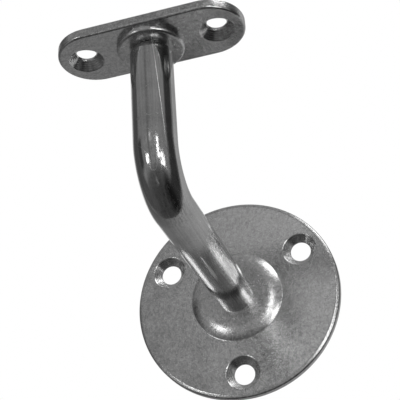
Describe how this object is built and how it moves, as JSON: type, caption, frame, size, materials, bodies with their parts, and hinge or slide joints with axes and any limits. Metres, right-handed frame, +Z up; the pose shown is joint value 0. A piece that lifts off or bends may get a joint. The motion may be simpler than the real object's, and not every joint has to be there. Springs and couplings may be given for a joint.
{
  "type": "handrail bracket",
  "caption": "Wall bracket for a handrail: round screw-on wall plate, bent round steel arm and obround saddle plate that the rail is screwed to.",
  "frame": {"origin": "centre of the wall plate's back face, on the axis of the arm's lower run", "axes": "+X along the rail, +Y into the wall, +Z up towards the rail"},
  "size_m": [0.067, 0.091, 0.0815],
  "materials": {
    "plate_steel": "pressed sheet steel, plated, satin and finely mottled by tumbling",
    "bar_steel": "round steel bar, bright plated, glossy with fine drawing marks and scratches"
  },
  "bodies": {
    "root": {"wall_plate": "plate_steel", "arm": "bar_steel", "saddle_plate": "plate_steel"}
  },
  "joints": []
}
